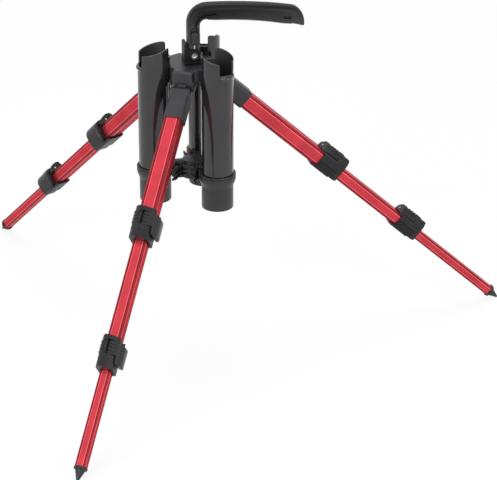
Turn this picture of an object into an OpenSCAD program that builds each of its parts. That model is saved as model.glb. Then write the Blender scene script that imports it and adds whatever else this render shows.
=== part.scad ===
// Rod pod: three rod tubes round a hub, on three folding and telescoping legs, with a folding handle.
// Millimetres, +Z up, ground at z = 0, origin under the hub's axis. Azimuth 0 (+X) is the right leg.

/* [Rod tubes] */
// Bore that takes the rod butt
rod_bore_d = 38.4; // [34:0.1:40]
// Wall of a rod tube
tube_wall = 1.8; // [1.5:0.1:2.2]
// Radius of the circle that the three tube axes lie on
tube_circle_r = 49.4; // [49:0.1:52]
// Height of the cut-outs' floor on the outer side, above the hub's top
notch_rise = 1; // [-3:0.5:5]
// Half angle of the outer cut-out
notch_half_angle = 33; // [25:1:38]
// Height of the rim at the tube's axis, above the hub's top
rim_rise = 21.5; // [18:0.5:25]
// Slope of the rim, falling away from the hub
rim_slope = 16; // [10:1:20]
// Height of the inner cut-out's floor above the hub's top
inner_notch_rise = 12; // [9:0.5:14]
// Half angle of the inner cut-out
inner_notch_half_angle = 34; // [28:1:38]
// How far the lip under the outer cut-out stands out
lip_out = 3; // [2:0.5:3.5]

/* [End caps] */
// Depth of the cap's bottom below the hub's top
cap_drop = 186; // [177:1:192]
// Height of the cap
cap_h = 48; // [40:1:54]
// Outer diameter of the cap's cup
cap_cup_d = 41.4; // [41:0.1:41.8]
// Outer diameter of the cap's collar
cap_collar_d = 48; // [47:0.1:49]
// Straight height of the collar
collar_h = 8; // [6:0.5:10]
// Height over which the collar tapers into the cup
collar_taper = 9; // [7:0.5:12]
// Thickness of the cap's floor
cap_floor = 3; // [2:0.5:5]
// Depth of the socket that the tube stands in
cap_socket = 14; // [10:0.5:15]

/* [Hub] */
// Height of the hub's top above the leg hinges
hub_above_hinge = 18; // [16:0.5:21]
// Width of a hub arm
arm_w = 27; // [25:0.5:29]
// Radius at which a hub arm ends
arm_r = 39; // [38:0.5:42]
// Radius of the hub's round core
core_r = 33; // [30:0.5:34]
// Radius of the leg hinges round the hub's axis
hinge_r = 28; // [27:0.5:29]
// Radius of the cheeks round a leg hinge
cheek_r = 11; // [10:0.5:11.5]
// Diameter of a leg hinge pin
hinge_pin_d = 6; // [5:0.5:7]
// Width of the knuckle's tongue
tongue_w = 12; // [10:0.5:13]
// Radius of the tongue round its hinge
tongue_r = 8; // [7:0.5:8.5]

/* [Legs] */
// Angle of a leg from the vertical at its outer stop
leg_angle = 48; // [44:1:50]
// Distance from the hinge to the upper clamp
upper_reach = 185; // [175:1:210]
// Length of mid and low section that stands out of the clamps, together
lower_reach = 246; // [236:1:255]
// Length of mid section standing out on the right leg
mid_out_right = 103; // [80:1:130]
// Length of mid section standing out on the left leg
mid_out_left = 114; // [80:1:130]
// Length of mid section standing out on the front leg
mid_out_front = 127; // [80:1:130]
// Width of the upper section
upper_w = 22; // [21:0.1:22.4]
// Width of the mid section
mid_w = 18; // [17.6:0.1:18.2]
// Width of the low section
low_w = 14; // [13.6:0.1:14.2]
// Wall of the leg sections
leg_wall = 1.4; // [1.2:0.1:1.5]
// Length of a mid section
mid_len = 198; // [190:1:199]
// Length of a low section
low_len = 198; // [190:1:201]
// Depth of the grooves along a leg section
groove_d = 0.7; // [0.4:0.1:0.8]
// Width of the grooves along a leg section
groove_w = 1.6; // [1:0.1:2]
// Distance from the hinge to the knuckle's lower end
knuckle_len = 56; // [50:1:62]
// Wall of the knuckle's socket
knuckle_wall = 1.7; // [1.4:0.1:2]
// Length of the foot's spike with its flange
foot_len = 18; // [15:0.5:22]
// Diameter of the foot's flange
foot_flange_d = 17; // [16:0.5:20]

/* [Clamps] */
// Length of a clamp
clamp_len = 46; // [42:1:50]
// Depth to which a clamp's body holds the outer section
clamp_socket = 30; // [26:1:32]
// Wall of a clamp's body
clamp_wall = 2.5; // [2:0.1:2.6]
// Wall of a clamp's lower ring round the inner section
ring_wall = 3.3; // [2.8:0.1:3.6]
// Diameter of a lever's pin
lever_pin_d = 2.5; // [2:0.1:3]
// Thickness of a lever
lever_t = 4.2; // [3.6:0.1:4.8]
// How far a lever's wing stands out beside the clamp's body
wing_out = 11.5; // [9:0.5:13]

/* [Spider] */
// Height of the spider
spider_h = 24; // [20:1:28]
// Height of the leg clips
clip_h = 16; // [12:1:20]
// Thickness of a clip's finger
finger_t = 2.6; // [2:0.1:3.2]
// Length of a clip's finger past the middle of the leg
finger_past = 7; // [4:0.5:10]
// Thickness of the saddles on the caps' collars
saddle_t = 2.6; // [2:0.1:3.2]

/* [Handle] */
// Height of the handle's pivot above the hub's top
handle_pivot_rise = 11.8; // [11.5:0.1:13]
// Distance of the handle's stem from the hub's axis
handle_x = 2.2; // [0:0.1:4]
// Height of the stem's straight part above the pivot
stem_h = 39.5; // [37:0.5:46]
// Width of the stem in the handle's plane
stem_w = 17; // [16:0.5:18]
// Thickness of the stem across the handle's plane
stem_t = 20; // [19:0.5:22]
// Radius of the handle's bend at mid thickness
bend_r = 17; // [15:0.5:22]
// Length of the grip after the bend
grip_len = 117; // [105:1:130]
// Angle through which the grip bows down
grip_turn = 14; // [10:1:20]
// Height of the grip
grip_h = 21; // [19:0.5:23]
// Thickness of the grip
grip_t = 22; // [20:0.5:24]
// Length of the pointed tip past the grip
tip_len = 14.8; // [12:0.2:18]
// Depth of the soft strip under the grip
strip_d = 3; // [2:0.5:4]
// Width of the soft strip under the grip
strip_w = 14; // [10:0.5:16]
// Width of the lock slider
slider_w = 8.6; // [7:0.1:9]
// Height of the lock slider
slider_h = 17.7; // [15:0.1:19]
// Travel of the lock slider
slider_travel = 4.4; // [3:0.1:5]
// Diameter of the lock pin
lock_pin_d = 2.7; // [2:0.1:3]
// Diameter of the handle's pivot bolt
bolt_d = 5; // [4:0.5:6]
// Thickness of the bracket's ears
ear_t = 3; // [2.5:0.1:3.4]
// Thickness of the bracket's base
base_t = 3; // [2.5:0.1:3.2]

/* [Clearances] */
// Gap of a seat between pieces that stay together
seat = 0.05; // [0.02:0.01:0.08]
// Gap of a turning fit
turn_fit = 0.06; // [0.04:0.01:0.1]
// Gap between pieces that slide or swing past each other
slide_gap = 0.3; // [0.2:0.05:0.4]

/* [Hidden] */
$fn = 64;
cut = 1;
far = 200;
leg_step = 120;
right = 0;
left = 1;
front = 2;
back_tube = 0;
left_tube = 1;
right_tube = 2;

// Legs
leg_len = upper_reach + lower_reach + 2 * clamp_len + foot_len;
foot_tip_d = 2.4;
hinge_z = leg_len * cos(leg_angle) + foot_tip_d / 2 * sin(leg_angle);
hub_top = hinge_z + hub_above_hinge;
mid_outs = [mid_out_right, mid_out_left, mid_out_front];
knuckle_w = upper_w + 2 * knuckle_wall;
dome_r = 22;
dome_s = 34;
tongue_len = 20;
tube_start = 28;
function clamp2_top(i) = upper_reach + clamp_len + mid_outs[i];
function mid_end(i) = clamp2_top(i) + clamp_socket;
function mid_start(i) = mid_end(i) - mid_len;
low_end = leg_len - foot_len;
low_start = low_end - low_len;
upper_end = upper_reach + clamp_socket;
bush_h = 6;
plug_h = 8;

// Rod tubes and caps
bore_r = rod_bore_d / 2;
tube_r = bore_r + tube_wall;
cap_z = hub_top - cap_drop;
cap_top = cap_z + cap_h;
tube_z = cap_top - cap_socket;
collar_r = cap_collar_d / 2;
notch_z = hub_top + notch_rise;
rim_z = hub_top + rim_rise;
inner_notch_z = hub_top + inner_notch_rise;
hub_bottom = hinge_z - cheek_r;
screw_d = 4;
screw_head_d = 6.4;
hub_screw_z = hinge_z + 5;
hub_screw_len = 11;
spider_screw_len = 10;
hub_post_r = 14;

// Spider
spider_top = cap_top + 4;
spider_z = spider_top - spider_h;
spider_mid = spider_z + spider_h / 2;
saddle_r = collar_r + seat;
clip_half = upper_w / 2 + slide_gap + 0.1;
clip_floor_r = hinge_r - upper_w / 2 - slide_gap - 0.2;

// Handle
pivot_z = hub_top + handle_pivot_rise;
barrel_r = 8;
barrel_t = stem_t - 2 * ear_t - 2 * slide_gap;
ear_r = 9;
bend_z = pivot_z + stem_h;
stem_foot = pivot_z + 11.5;
grip_r = grip_len / (grip_turn * PI / 180);
slider_z = pivot_z + 14;
slider_d = 4.8;
slider_y = -stem_t / 2 - 0.6;
lock_pin_y = -stem_t / 2 + 1.2;
lock_pin_z = pivot_z + ear_r + slide_gap + 0.1;
spring_y = lock_pin_y + 1;
spring_z = slider_z + slider_h + slider_travel + 4 * slide_gap;
bolt_head_d = 8.4;
bolt_head_h = 2.4;
nut_w = 8;
nut_h = 3.6;
bracket_screw_x = 5.5;
bracket_screw_len = 12;
csk_h = 2;
lock_pin_grip = 7;
teeth = 44;
spring_d = 4;
spring_wire = 0.7;
spring_h = 8;
spring_turns = 5;

// Clamps
block_len = 31;
lever_y = 2;
clamp_ear_len = 5;

// Places

// A leg's own frame: x is the leg's upper face, y runs counter-clockwise, and the leg runs down along -z.
module in_leg(i) {
    rotate([0, 0, leg_step * i]) translate([hinge_r, 0, hinge_z]) rotate([0, -leg_angle, 0]) children();
}

// A tube's own frame: x points away from the hub's axis, z is up from the ground.
module in_tube(i) {
    rotate([0, 0, leg_step * i + leg_step / 2]) translate([tube_circle_r, 0, 0]) children();
}

// Extrudes an outline along a leg, from distance s0 to s1 below the hinge.
module along(s0, s1) {
    translate([0, 0, -s1]) linear_extrude(s1 - s0) children();
}

// Outlines

module round_rect(w, h, r) {
    square([w - 2 * r, h], center = true);
    square([w, h - 2 * r], center = true);
    for (x = [-1, 1], y = [-1, 1]) translate([x * (w / 2 - r), y * (h / 2 - r)]) circle(r);
}

module sector(r, half_angle) {
    polygon([[0, 0], for (a = [-half_angle : half_angle / 4 : half_angle]) r * [cos(a), sin(a)]]);
}

// Outline of a leg section: rounded square with two grooves on each side.
module section_outline(w) {
    corner = w * 0.16;
    groove_at = w * 0.29;
    difference() {
        round_rect(w, w, corner);
        for (side = [-1, 1], x = [-1, 1]) translate([x * groove_at, side * w / 2])
            square([groove_w, 2 * groove_d], center = true);
    }
}

module section_bore(w) {
    inner = w - 2 * leg_wall;
    round_rect(inner, inner, w * 0.1);
}

// Hub group

module hub_slots() {
    half = tongue_w / 2 + slide_gap;
    r = tongue_r + slide_gap + 0.1;
    for (i = [right : front]) rotate([0, 0, leg_step * i]) translate([hinge_r, 0, hinge_z]) {
        rotate([90, 0, 0]) linear_extrude(2 * half, center = true) {
            circle(r);
            for (a = [0, leg_angle / 2, leg_angle]) rotate(a) translate([-r, -far]) square([2 * r, far]);
        }
        rotate([90, 0, 0]) cylinder(h = far, d = hinge_pin_d + 2 * seat, center = true);
    }
}

module hub() {
    bevel = 1.5;
    color("#3c3c3e") difference() {
        union() {
            translate([0, 0, hub_bottom]) cylinder(h = hub_top - hub_bottom, r = hub_post_r);
            translate([0, 0, hinge_z]) cylinder(h = hub_top - hinge_z, r = core_r);
            for (i = [right : front]) rotate([0, 0, leg_step * i]) {
                translate([0, -arm_w / 2, hinge_z]) cube([arm_r, arm_w, hub_top - hinge_z - bevel]);
                translate([0, -arm_w / 2 + bevel, hinge_z])
                    cube([arm_r - bevel, arm_w - 2 * bevel, hub_top - hinge_z]);
                translate([hinge_r, 0, hinge_z]) rotate([90, 0, 0]) linear_extrude(arm_w, center = true) {
                    circle(cheek_r);
                    translate([-cheek_r, 0]) square([2 * cheek_r, cheek_r]);
                }
            }
        }
        for (i = [back_tube : right_tube]) in_tube(i) {
            cylinder(h = far * 3, r = tube_r + seat);
            translate([0, 0, hub_screw_z]) rotate([0, -90, 0])
                cylinder(h = tube_r + hub_screw_len, d = screw_d + 2 * seat);
        }
        hub_slots();
        bracket_screw_places() cylinder(h = far, d = screw_d + 2 * seat, center = true);
    }
}

module leg_hinge_pins() {
    color("silver") for (i = [right : front]) rotate([0, 0, leg_step * i])
        translate([hinge_r, 0, hinge_z]) rotate([90, 0, 0])
            cylinder(h = arm_w - 1, d = hinge_pin_d, center = true);
}

// Rod tubes

module tube_screw_holes(z) {
    translate([0, 0, z]) rotate([0, -90, 0]) {
        cylinder(h = far / 4, d = screw_d + 2 * seat);
        translate([0, 0, bore_r - cut]) cylinder(h = cut, d = screw_head_d + 2 * seat);
        translate([0, 0, bore_r])
            cylinder(h = tube_wall, d1 = screw_head_d + 2 * seat, d2 = screw_d + 2 * seat);
    }
}

module rod_tube(i) {
    rim_far = 3 * tube_r;
    lip_h = 7;
    lip_root = 0.5;
    lip_half_angle = notch_half_angle - 1;
    bead_r = lip_h * 0.3;
    color("#2e2c2e") in_tube(i) difference() {
        union() {
            translate([0, 0, tube_z]) rotate([0, 0, 90]) cylinder(h = rim_z + tube_r - tube_z, r = tube_r);
            translate([0, 0, notch_z + lip_root - lip_h / 2]) rotate([0, 0, -lip_half_angle])
                rotate_extrude(angle = 2 * lip_half_angle) {
                    translate([tube_r - lip_root, -lip_h / 2]) square([lip_out * 0.4 + lip_root, lip_h]);
                    translate([tube_r + lip_out - bead_r, 0]) circle(bead_r);
                }
        }
        translate([0, 0, tube_z - cut]) rotate([0, 0, 90]) cylinder(h = far * 2, r = bore_r);
        translate([0, 0, rim_z]) rotate([0, rim_slope, 0])
            translate([-rim_far, -rim_far, 0]) cube(2 * rim_far);
        translate([0, 0, notch_z]) linear_extrude(far) sector(far, notch_half_angle);
        translate([0, 0, inner_notch_z]) linear_extrude(far) rotate(180) sector(far, inner_notch_half_angle);
        tube_screw_holes(hub_screw_z);
        tube_screw_holes(spider_mid);
    }
}

module end_cap(i) {
    cup_r = cap_cup_d / 2;
    taper_z = cap_h - collar_h - collar_taper;
    base_round = 2;
    color("#38383a") in_tube(i) difference() {
        translate([0, 0, cap_z]) rotate_extrude() difference() {
            union() {
                polygon([[0, 0], [cup_r - base_round, 0], [cup_r, base_round], [cup_r, taper_z],
                    [collar_r, cap_h - collar_h], [collar_r, cap_h], [0, cap_h]]);
                translate([cup_r - base_round, base_round]) circle(base_round);
            }
            translate([-cut, cap_floor]) square([bore_r + cut, far]);
            translate([-cut, cap_h - cap_socket]) square([tube_r + seat + cut, far]);
        }
        translate([0, 0, spider_mid]) rotate([0, -90, 0]) cylinder(h = far / 4, d = screw_d + 2 * seat);
    }
}

// Flat-headed screws from inside each tube: one into the hub, one into the spider.
module tube_screws() {
    lengths = [[hub_screw_z, hub_screw_len], [spider_mid, spider_screw_len]];
    color("silver") for (i = [back_tube : right_tube], s = lengths) in_tube(i)
        translate([0, 0, s[0]]) rotate([0, -90, 0]) translate([0, 0, bore_r]) {
            cylinder(h = tube_wall, d1 = screw_head_d, d2 = screw_d);
            cylinder(h = tube_wall + s[1] - cut, d = screw_d);
        }
}

// Spider: arms to the caps' collars, and a clip for each folded leg

// One finger of a clip, seen from above, with its flared tip.
module finger_outline() {
    tip = hinge_r + finger_past;
    flare = 3.6;
    polygon([[clip_floor_r - 8, clip_half - 3], [clip_floor_r - 2, clip_half], [tip - 5, clip_half],
        [tip + 1, clip_half + flare], [tip - 0.6, clip_half + flare + 1.6], [tip - 6, clip_half + finger_t],
        [clip_floor_r - 2, clip_half + finger_t], [clip_floor_r - 9, clip_half - 1]]);
}

module lower_spider() {
    arm_t = 9;
    web_t = 4;
    saddle_half_angle = 26;
    arm_in = tube_circle_r - saddle_r - saddle_t;
    difference() {
        color("#262628") union() {
            translate([0, 0, spider_z]) cylinder(h = spider_h, r = clip_floor_r - 3);
            translate([0, 0, spider_mid - clip_h / 2]) cylinder(h = clip_h, r = clip_floor_r + 1.5);
            for (i = [back_tube : right_tube]) {
                rotate([0, 0, leg_step * i + leg_step / 2]) {
                    translate([0, -web_t / 2, spider_z]) cube([arm_in + saddle_t / 2, web_t, spider_h]);
                    for (z = [spider_z, spider_mid - web_t / 2, spider_top - web_t])
                        translate([0, -arm_t / 2, z]) cube([arm_in + saddle_t / 2, arm_t, web_t]);
                    translate([0, 0, spider_mid]) rotate([0, 90, 0])
                        cylinder(h = arm_in + saddle_t / 2, d = arm_t);
                }
                in_tube(i) translate([0, 0, spider_z]) linear_extrude(spider_h) intersection() {
                    circle(saddle_r + saddle_t);
                    rotate(180) sector(far, saddle_half_angle);
                }
            }
            for (i = [right : front], side = [0, 1]) rotate([0, 0, leg_step * i]) mirror([0, side, 0])
                translate([0, 0, spider_mid - clip_h / 2]) linear_extrude(clip_h) finger_outline();
        }
        for (i = [back_tube : right_tube]) in_tube(i) {
            translate([0, 0, cap_z]) cylinder(h = cap_h + seat, r = saddle_r);
            translate([0, 0, cap_top]) cylinder(h = far, r = tube_r + seat);
            translate([0, 0, spider_mid]) rotate([0, -90, 0])
                cylinder(h = tube_r + spider_screw_len + 2 * cut, d = screw_d + 2 * seat);
        }
        for (i = [right : front]) rotate([0, 0, leg_step * i]) translate([clip_floor_r, -clip_half, 0])
            cube([far, 2 * clip_half, far * 3]);
    }
}

// Handle bracket, its screws and its pivot

module bracket_screw_places() {
    for (x = [-1, 1]) translate([handle_x + x * bracket_screw_x, 0, hub_top]) children();
}

module handle_bracket() {
    outer = stem_t / 2;
    wall_x = handle_x - stem_w / 2 - slide_gap;
    stop_t = 4.5;
    stop_rise = 17;
    base_side = 1.5;
    lift = pivot_z - hub_top;
    color("#303033") difference() {
        union() {
            translate([wall_x - stop_t, -outer - base_side, hub_top])
                cube([stop_t + stem_w + cut, 2 * (outer + base_side), base_t]);
            for (y = [-outer, outer - ear_t]) translate([handle_x, y, pivot_z]) {
                translate([0, ear_t, 0]) rotate([90, 0, 0]) cylinder(h = ear_t, r = ear_r);
                translate([-stem_w / 2 - slide_gap, 0, -lift]) cube([stem_w, ear_t, lift]);
                translate([-stem_w / 2 - slide_gap, 0, 0]) cube([stem_w / 2, ear_t, ear_r]);
            }
            translate([wall_x - stop_t, -outer, hub_top]) cube([stop_t, 2 * outer, lift + stop_rise - stop_t / 2]);
            translate([wall_x - stop_t / 2, 0, pivot_z + stop_rise - stop_t / 2]) rotate([90, 0, 0])
                cylinder(h = 2 * outer, d = stop_t, center = true);
        }
        translate([handle_x, 0, pivot_z]) rotate([90, 0, 0])
            cylinder(h = far, d = bolt_d + 2 * seat, center = true);
        bracket_screw_places() {
            cylinder(h = far, d = screw_d + 2 * seat, center = true);
            translate([0, 0, base_t - csk_h])
                cylinder(h = csk_h + cut, d1 = screw_d + 2 * seat, d2 = screw_head_d + 2 * seat + cut);
        }
    }
}

module bracket_screws() {
    color("silver") bracket_screw_places() {
        translate([0, 0, base_t - csk_h]) cylinder(h = csk_h, d1 = screw_d, d2 = screw_head_d);
        translate([0, 0, -bracket_screw_len]) cylinder(h = bracket_screw_len + base_t - csk_h, d = screw_d);
    }
}

module handle_pivot_bolt() {
    socket_w = 4;
    color("silver") translate([handle_x, -stem_t / 2, pivot_z]) rotate([-90, 0, 0]) difference() {
        union() {
            translate([0, 0, -bolt_head_h]) cylinder(h = bolt_head_h, d = bolt_head_d);
            cylinder(h = stem_t + nut_h + 0.8, d = bolt_d);
        }
        translate([0, 0, -bolt_head_h - cut])
            cylinder(h = bolt_head_h + cut, d = socket_w / cos(30), $fn = 6);
    }
}

module handle_pivot_nut() {
    color("silver") translate([handle_x, stem_t / 2, pivot_z]) rotate([-90, 0, 0]) difference() {
        cylinder(h = nut_h, d = nut_w / cos(30), $fn = 6);
        translate([0, 0, -cut]) cylinder(h = far, d = bolt_d + 2 * seat);
    }
}

// Handle: a rounded section swept up the stem, round the bend, along the bowed grip and down the tip

// A station is x, z, heading, half height in the handle's plane and half thickness across it.
function bend_station(a) = [handle_x + bend_r * (1 - cos(a)), bend_z + bend_r * sin(a), 90 - a,
    stem_w / 2 + (grip_h - stem_w) / 2 * a / 90, stem_t / 2 + (grip_t - stem_t) / 2 * a / 90];
function grip_station(t) = let (a = grip_turn * t)
    [handle_x + bend_r + grip_r * sin(a), bend_z + bend_r - grip_r * (1 - cos(a)), -a, grip_h / 2, grip_t / 2];
// Past the grip the underside runs on straight, and the top falls to meet it in a point.
function tip_station(t) = let (drop = grip_h / 2 * pow(t, 1.3), c = place(grip_station(1), -drop, 0))
    [c[0] + tip_len * t * cos(grip_turn), c[2] - tip_len * t * sin(grip_turn), -grip_turn,
     grip_h / 2 - drop, grip_t / 2 * sqrt(1 - 0.7 * t * t)];
function body_stations() = concat(
    [[handle_x, stem_foot - 2, 90, stem_w / 2, stem_t / 2]],
    [for (a = [0 : 10 : 90]) bend_station(a)],
    [for (t = [0.08 : 0.08 : 0.99]) grip_station(t)],
    [for (t = [0 : 0.12 : 0.97]) tip_station(t)]);

function place(s, q, y) = [s[0] - sin(s[2]) * q, y, s[1] + cos(s[2]) * q];
function bulge(v) = sign(v) * pow(abs(v), 0.72);
function round_ring(s, n) = [for (j = [0 : n - 1]) let (a = 360 * j / n)
    place(s, s[3] * bulge(cos(a)), s[4] * bulge(sin(a)))];
function flat_ring(s, q0, q1, half) =
    [place(s, q0, -half), place(s, q1, -half), place(s, q1, half), place(s, q0, half)];

// Closes a list of rings of n points into one solid.
module skin(rings, n) {
    last = len(rings) - 1;
    sides = [for (k = [0 : last - 1], j = [0 : n - 1]) let (a = k * n + j, b = k * n + (j + 1) % n)
        each [[a, b, a + n], [b, b + n, a + n]]];
    first_end = [for (j = [n - 1 : -1 : 0]) j];
    last_end = [for (j = [0 : n - 1]) last * n + j];
    polyhedron([for (r = rings) each r], concat([first_end], sides, [last_end]));
}

// The soft strip's stations along the grip: every tooth has two.
function strip_station(k) = grip_station(0.04 + 0.94 * k / (2 * teeth));

module strip_channel() {
    skin([for (k = [0 : teeth / 4 : 2 * teeth]) let (s = strip_station(k))
        flat_ring(s, -s[3] - far / 20, -s[3] + strip_d + seat, strip_w / 2 + seat)], 4);
}

module slider_slot() {
    w = slider_w + 2 * slide_gap;
    translate([handle_x - w / 2, -stem_t, slider_z - slide_gap])
        cube([w, stem_t + slider_y + slider_d + slide_gap, slider_h + slider_travel + 2 * slide_gap]);
    notch = lock_pin_d + 2 * slide_gap;
    translate([handle_x - notch / 2, -stem_t, pivot_z])
        cube([notch, stem_t + lock_pin_y + notch / 2, slider_z - pivot_z]);
    translate([handle_x, spring_y, slider_z])
        cylinder(h = spring_z + spring_h + slide_gap - slider_z, d = spring_d + 2 * slide_gap);
}

module handle_body() {
    sides = 28;
    color("#343436") difference() {
        union() {
            skin([for (s = body_stations()) round_ring(s, sides)], sides);
            translate([handle_x, 0, pivot_z]) rotate([90, 0, 0])
                cylinder(h = barrel_t, r = barrel_r, center = true);
            translate([handle_x - barrel_r, -barrel_t / 2, pivot_z])
                cube([2 * barrel_r, barrel_t, stem_foot - pivot_z]);
        }
        strip_channel();
        slider_slot();
        translate([handle_x, 0, pivot_z]) rotate([90, 0, 0])
            cylinder(h = far, d = bolt_d + 2 * turn_fit, center = true);
    }
}

module grip_strip() {
    tooth_d = 0.7;
    color("#1e1e20") skin([for (k = [0 : 2 * teeth]) let (s = strip_station(k))
        flat_ring(s, -s[3] - tooth_d * (k % 2), -s[3] + strip_d, strip_w / 2)], 4);
}

// One unbroken coil in its pocket above the slider, seated against the pocket's end.
module lock_spring() {
    rings_per_turn = 10;
    wire_sides = 6;
    mean_r = (spring_d - spring_wire) / 2;
    steps = spring_turns * rings_per_turn;
    color("silver") translate([handle_x, spring_y, spring_z + spring_wire / 2])
        skin([for (k = [0 : steps]) let (a = 360 * k / rings_per_turn, z = (spring_h - spring_wire) * k / steps)
            [for (j = [0 : wire_sides - 1]) let (b = 360 * j / wire_sides, r = mean_r + spring_wire / 2 * cos(b))
                [r * cos(a), r * sin(a), z + spring_wire / 2 * sin(b)]]], wire_sides);
}

module lock_slider() {
    rib = 0.8;
    ribs = 4;
    color("#2a2a2c") difference() {
        union() {
            translate([handle_x - slider_w / 2, slider_y, slider_z]) cube([slider_w, slider_d, slider_h]);
            for (k = [1 : ribs])
                translate([handle_x - slider_w / 2 + rib, slider_y - rib / 2, slider_z + slider_h * k / (ribs + 1)])
                    cube([slider_w - 2 * rib, rib, rib]);
        }
        translate([handle_x, lock_pin_y, slider_z - cut])
            cylinder(h = lock_pin_grip + cut, d = lock_pin_d + 2 * seat);
    }
}

module lock_pin() {
    color("silver") translate([handle_x, lock_pin_y, lock_pin_z])
        cylinder(h = slider_z + lock_pin_grip - lock_pin_z, d = lock_pin_d);
}

// Leg pieces

module knuckle(i) {
    corner = knuckle_w * 0.2;
    color("#444648") in_leg(i) difference() {
        union() {
            along(dome_s, knuckle_len) round_rect(knuckle_w, knuckle_w, corner);
            intersection() {
                along(dome_s - dome_r, dome_s) round_rect(knuckle_w, knuckle_w, corner);
                translate([0, 0, -dome_s]) sphere(dome_r);
            }
            rotate([90, 0, 0]) cylinder(h = tongue_w, r = tongue_r, center = true);
            translate([-tongue_r, -tongue_w / 2, -tongue_len]) cube([2 * tongue_r, tongue_w, tongue_len]);
        }
        along(tube_start, far) round_rect(upper_w + 2 * seat, upper_w + 2 * seat, upper_w * 0.16);
        rotate([90, 0, 0]) cylinder(h = far, d = hinge_pin_d + 2 * turn_fit, center = true);
    }
}

module leg_section(i, w, s0, s1) {
    color("#d0283c") in_leg(i) along(s0, s1) difference() {
        section_outline(w);
        section_bore(w);
    }
}

module upper_tube(i) {
    leg_section(i, upper_w, tube_start, upper_end);
}

module mid_tube(i) {
    leg_section(i, mid_w, mid_start(i), mid_end(i));
}

module low_tube(i) {
    leg_section(i, low_w, low_start, low_end);
}

// Guide bush: a plug in the top of the inner section, with a head that slides in the outer one.
module bush(i, outer_w, inner_w, s) {
    head = outer_w - 2 * leg_wall - slide_gap;
    plug = inner_w - 2 * leg_wall - 2 * seat;
    hole = plug - 4;
    color("#1c1c1e") in_leg(i) difference() {
        union() {
            along(s - bush_h, s) round_rect(head, head, outer_w * 0.1);
            along(s - bush_h, s + plug_h) round_rect(plug, plug, inner_w * 0.1);
        }
        along(s - bush_h - cut, s + plug_h + cut) circle(d = hole);
    }
}

module foot(i) {
    flange_h = 3;
    plug_len = 12;
    neck_d = foot_flange_d - 4;
    plug = low_w - 2 * leg_wall - 2 * seat;
    color("#222224") in_leg(i) {
        translate([0, 0, -low_end - flange_h]) cylinder(h = flange_h, d = foot_flange_d);
        translate([0, 0, -low_end - foot_len]) cylinder(h = foot_len - flange_h, d1 = foot_tip_d, d2 = neck_d);
        along(low_end - plug_len, low_end) round_rect(plug, plug, low_w * 0.1);
    }
}

// Clamps: a body on the end of the outer section, a lever on its upper face, and the lever's pin

function face_n(ow) = ow / 2 + clamp_wall;
function pin_n(ow) = face_n(ow) + slide_gap + lever_t / 2;

module clamp_body(ow, iw) {
    block = ow + 2 * clamp_wall;
    ring = iw + 2 * ring_wall;
    pad_edge = lever_y - lever_t / 2 - 2 * slide_gap;
    pad_w = block / 2 + pad_edge - 1.5;
    pad_h = lever_t + slide_gap - 0.8;
    bars = 4;
    bar_h = 0.8;
    bar_w = 2.2;
    slit = 0.9;
    face = face_n(ow);
    pin = pin_n(ow);
    difference() {
        union() {
            along(0, block_len) round_rect(block, block, block * 0.16);
            along(block_len, clamp_len) round_rect(ring, ring, ring * 0.2);
            translate([face - cut, pad_edge - pad_w, -block_len + 1]) cube([pad_h + cut, pad_w, block_len - 2]);
            for (k = [1 : bars])
                translate([face + pad_h - cut, pad_edge - pad_w + 1, -4 - (block_len - 6) * k / (bars + 1)])
                    cube([bar_h + cut, pad_w - 3, bar_w]);
            for (s = [1, block_len - 1 - clamp_ear_len]) translate([0, 0, -s - clamp_ear_len]) {
                translate([pin, lever_y, 0]) cylinder(h = clamp_ear_len, d = lever_t);
                translate([face - cut, pad_edge - cut, 0])
                    cube([pin - face + cut, lever_y + lever_t / 2 - pad_edge + cut, clamp_ear_len]);
            }
        }
        along(-cut, clamp_socket) round_rect(ow + 2 * seat, ow + 2 * seat, ow * 0.16);
        along(clamp_socket - cut, clamp_len + cut)
            round_rect(iw + 2 * slide_gap, iw + 2 * slide_gap, iw * 0.16);
        translate([pin, lever_y, -clamp_len]) cylinder(h = far, d = lever_pin_d + 2 * seat);
        translate([face - slit, -block / 2 - cut, -block_len + 4]) cube([slit, slit + cut, block_len - 12]);
    }
}

module lever_pin_at(ow) {
    translate([pin_n(ow), lever_y, -block_len + 1.5]) cylinder(h = block_len - 2, d = lever_pin_d);
}

module lever(ow) {
    half = ow / 2 + clamp_wall;
    n0 = face_n(ow) + slide_gap;
    n1 = n0 + lever_t;
    wing_end = half + wing_out;
    wing_len = 31;
    wing_top = 9;
    barrel_s0 = 1 + clamp_ear_len + slide_gap;
    barrel_s1 = block_len - 1 - clamp_ear_len - slide_gap;
    end_r = 5.5;
    difference() {
        union() {
            translate([pin_n(ow), lever_y, -barrel_s1]) cylinder(h = barrel_s1 - barrel_s0, d = lever_t);
            intersection() {
                along(0, clamp_len) polygon([[n0, lever_y], [n0, half - 2.5], [n0 - 3, half + 0.8],
                    [n0 - 11, wing_end - 3], [n0 - 9, wing_end], [n1 - 6, half + 5], [n1 - 1, half],
                    [n1, half - 3], [n1, lever_y]]);
                translate([far / 2, 0, 0]) rotate([0, -90, 0]) linear_extrude(far) union() {
                    polygon([[-barrel_s0, lever_y - cut], [-barrel_s0, half - 2], [-wing_top, half + 1],
                        [-wing_top - 5, wing_end + cut],
                        [-wing_top - wing_len + end_r, wing_end + cut], [-wing_top - wing_len + end_r, half + 0.5],
                        [-barrel_s1, half + 0.5], [-barrel_s1, lever_y - cut]]);
                    translate([-wing_top - wing_len + end_r, half + 0.5 + end_r]) circle(end_r);
                }
            }
        }
        translate([pin_n(ow), lever_y, -clamp_len]) cylinder(h = far, d = lever_pin_d + 2 * turn_fit);
    }
}

module upper_clamp(i) {
    color("#2c2c2e") in_leg(i) translate([0, 0, -upper_reach]) clamp_body(upper_w, mid_w);
}

module upper_lever_pin(i) {
    color("silver") in_leg(i) translate([0, 0, -upper_reach]) lever_pin_at(upper_w);
}

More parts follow.
